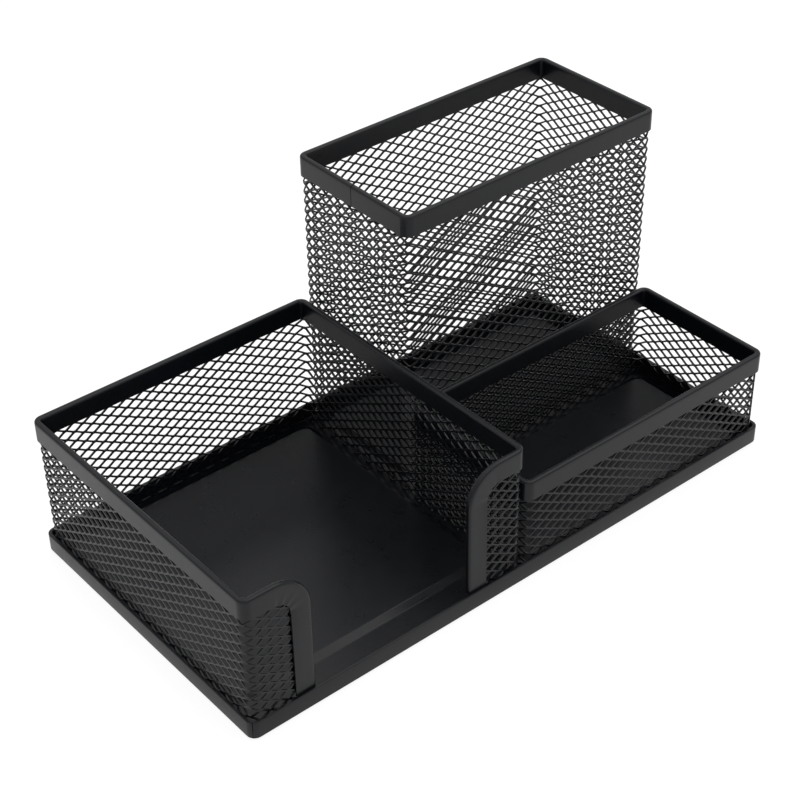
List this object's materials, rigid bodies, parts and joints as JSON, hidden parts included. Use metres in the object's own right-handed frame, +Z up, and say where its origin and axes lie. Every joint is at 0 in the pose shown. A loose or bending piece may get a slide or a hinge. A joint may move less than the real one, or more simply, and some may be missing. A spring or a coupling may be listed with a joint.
{
  "type": "mesh desk organizer",
  "caption": "Black expanded-steel desk organizer: an open-fronted memo tray beside a tall pen cup and a low clip tray, all standing in one rimmed sheet-steel base.",
  "frame": {"origin": "on the table, under the middle of the base", "axes": "+X to the right along the front, +Y towards the back, +Z up"},
  "size_m": [0.205, 0.107, 0.1005],
  "materials": {
    "coated_sheet": "satin black powder coat",
    "coated_mesh": "satin black powder coat on expanded steel",
    "pad_foam": "matte closed-cell foam"
  },
  "bodies": {
    "root": {"base_pan": "coated_sheet", "memo_tray_mesh": "coated_mesh", "memo_tray_rim": "coated_sheet", "pen_cup_mesh": "coated_mesh", "pen_cup_rim": "coated_sheet", "clip_tray_mesh": "coated_mesh", "clip_tray_rim": "coated_sheet", "foot_pad_front_left": "pad_foam", "foot_pad_back_left": "pad_foam", "foot_pad_front_right": "pad_foam", "foot_pad_back_right": "pad_foam"}
  },
  "joints": []
}
